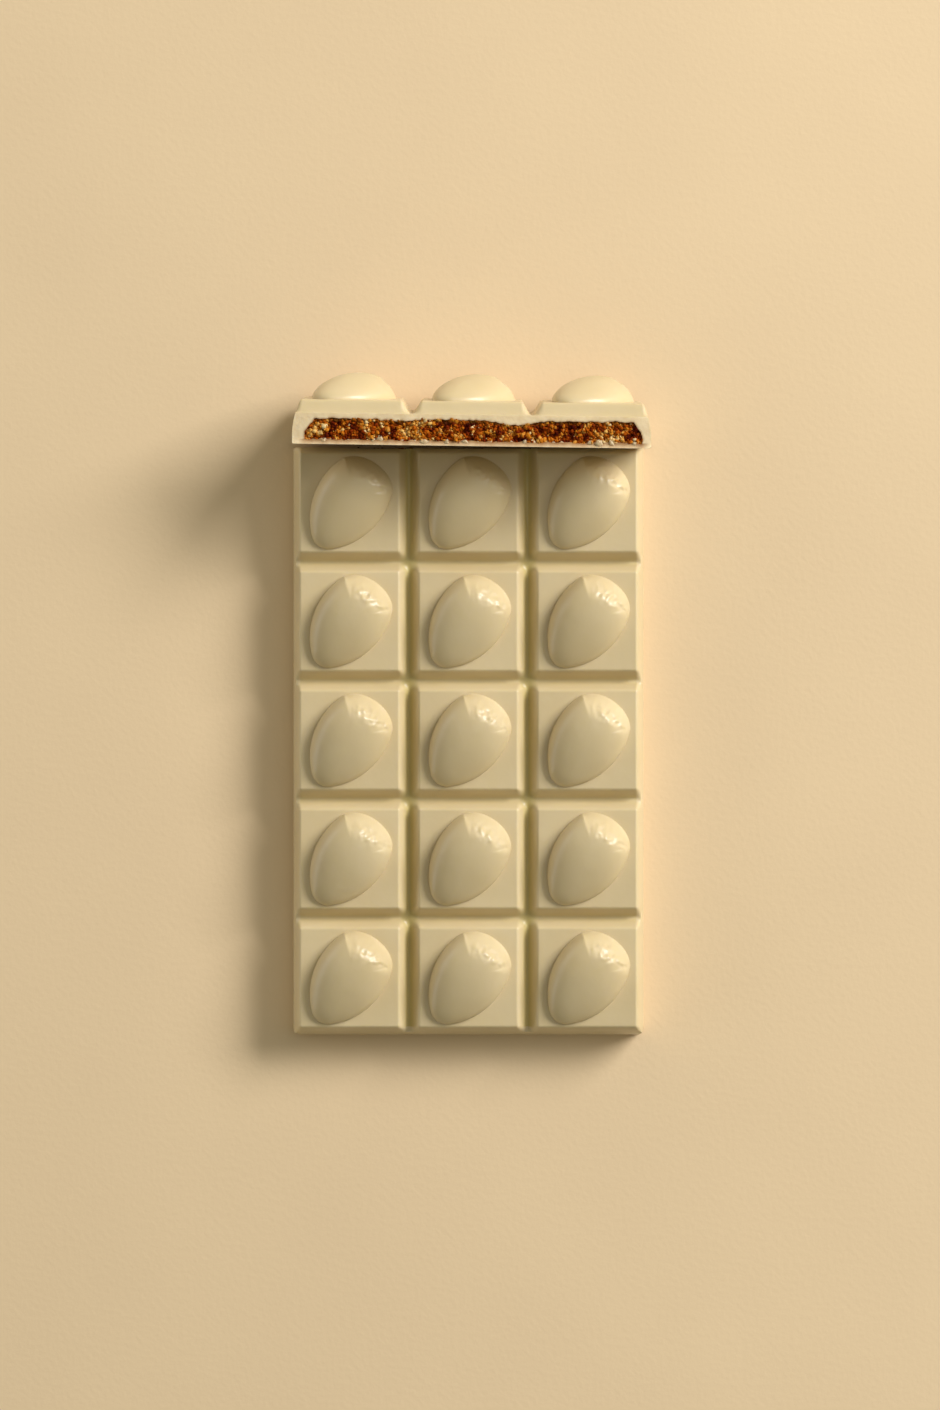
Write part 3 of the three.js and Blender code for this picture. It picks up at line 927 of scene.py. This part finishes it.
def add_light():
    """A wide soft lamp low on the right, dim ones low on the left and overhead, and an even room."""
    add_lamp("key", direction=(1.42, 0.95, 1), distance=1.8, size=(0.97, 0.59), power=38.4)
    add_lamp("fill", direction=(-1.40, 0.20, 0.28), distance=2.6, size=(3.2, 0.9), power=20)
    add_lamp("ceiling", direction=(0.35, 0.2, 1), distance=2.4, size=(2, 2), power=8.8)
    world = bpy.data.worlds.new("room")
    world.use_nodes = True
    background = world.node_tree.nodes["Background"]
    background.inputs["Color"].default_value = (0.97, 0.99, 0.70, 1)
    background.inputs["Strength"].default_value = 0.15
    bpy.context.scene.world = world
    bpy.context.scene.view_settings.view_transform = "Standard"


def stands_for(piece, node):
    """Says what carries a piece, and which solid it replaces, if any."""
    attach(piece, "root")
    if node:
        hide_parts(node)


def lying_pieces(materials):
    """The fifteen squares on their backs, and their filling."""
    side_lines = mould_lines(COLUMNS, SIDE_WALL_INSET)
    row_lines = mould_lines(LYING_ROWS, END_WALL_INSET, snap_last=True)
    offset = (-(COLUMNS - 1) / 2 * PITCH, FIRST_ROW_AT, 0)
    shell = moulded_block("bar_chocolate", side_lines, row_lines, offset, materials["moulded"])
    filled_from = END_COVER - LYING_LENGTH / 2
    past = SNAP_AT + PAST_THE_SNAP
    snapped = materials["snapped"]
    cut(
        shell,
        snap_cutter(SNAP_AT, 1, CHOCOLATE_WAVES, CHOCOLATE_CELL, LYING_FACE_SEED, snapped),
        filling_bar("cavity", filled_from, past, snapped, CAVITY_GROWTH),
    )
    # Paints shade into the grooves.
    mark_groove_shade(shell, END_WALL_INSET - LYING_LENGTH / 2, SNAP_AT)
    dust_by_filling(shell, SNAP_AT)
    filling = filling_bar("bar_crumb", filled_from, past, materials["crumb"])
    face_at = SNAP_AT - CRUMB_SETBACK
    cut(filling, snap_cutter(face_at, 1, CRUMB_WAVES, CRUMB_CELL, LYING_CRUMB_SEED, materials["crumb"]))
    grains = crumbs_on_face("bar_grains", LYING_GRAINS, face_at, 1, LYING_CRUMB_SEED, materials["grain"])
    stands_for(shell, "bar_shell")
    stands_for(filling, "bar_filling")
    stands_for(grains, None)


def loose_pieces(materials):
    """The row of three that stands on its edge, and its filling."""
    side_lines = mould_lines(COLUMNS, SIDE_WALL_INSET)
    row_lines = mould_lines(LOOSE_ROWS, END_WALL_INSET, snap_first=True)
    offset = (-(COLUMNS - 1) / 2 * PITCH, -ROW_EDGE, 0)
    shell = moulded_block("strip_chocolate", side_lines, row_lines, offset, materials["moulded"])
    filled_to = -END_COVER
    past = LOOSE_SNAP_AT - PAST_THE_SNAP
    snapped = materials["snapped"]
    cut(
        shell,
        snap_cutter(LOOSE_SNAP_AT, -1, CHOCOLATE_WAVES, CHOCOLATE_CELL, LOOSE_FACE_SEED, snapped, lip=1),
        filling_bar("cavity", past, filled_to, snapped, CAVITY_GROWTH),
    )
    dust_by_filling(shell, LOOSE_SNAP_AT)
    filling = filling_bar("strip_crumb", past, filled_to, materials["crumb"])
    face_at = LOOSE_SNAP_AT + CRUMB_SETBACK
    cut(filling, snap_cutter(face_at, -1, CRUMB_WAVES, CRUMB_CELL, LOOSE_CRUMB_SEED, materials["crumb"]))
    grains = crumbs_on_face("strip_grains", LOOSE_GRAINS, face_at, -1, LOOSE_CRUMB_SEED, materials["grain"])
    lumps = lumps_along_back("strip_lumps", LOOSE_SNAP_AT, -1, LUMP_SEED, materials["lump"])
    place = LOOSE_PLACE.copy()
    place.translation *= MM
    for piece in (shell, filling, grains, lumps):
        piece.data.transform(place)
    stands_for(shell, "strip_shell")
    stands_for(filling, "strip_filling")
    stands_for(grains, None)
    stands_for(lumps, None)


def lumps_along_back(name, at, direction, seed, material):
    """White lumps, half sunk and flattened, in the thin lower layer beside the filling."""
    random = np.random.default_rng(seed)
    places = []
    radii = []
    for x in np.arange(LUMPS_FROM, LUMPS_TO, LUMP_SPACING):
        x += random.uniform(-LUMP_SPACING, LUMP_SPACING) / 2
        radius = random.uniform(*LUMP_RADII)
        places.append((x, at - direction * LUMP_SINK * radius, random.uniform(*LUMP_HEIGHTS)))
        radii.append(radius)
    tints = [NO_TINT] * len(places)
    return scattered_grains(name, places, radii, tints, seed, material, LUMP_FLATNESS)


finishes = {
    "moulded": moulded_chocolate(),
    "snapped": snapped_chocolate(),
    "crumb": pressed_crumbs(),
    "grain": crumb_grains(),
    "lump": white_lump(),
}
add_camera()
lying_pieces(finishes)
loose_pieces(finishes)
add_floor()
add_light()
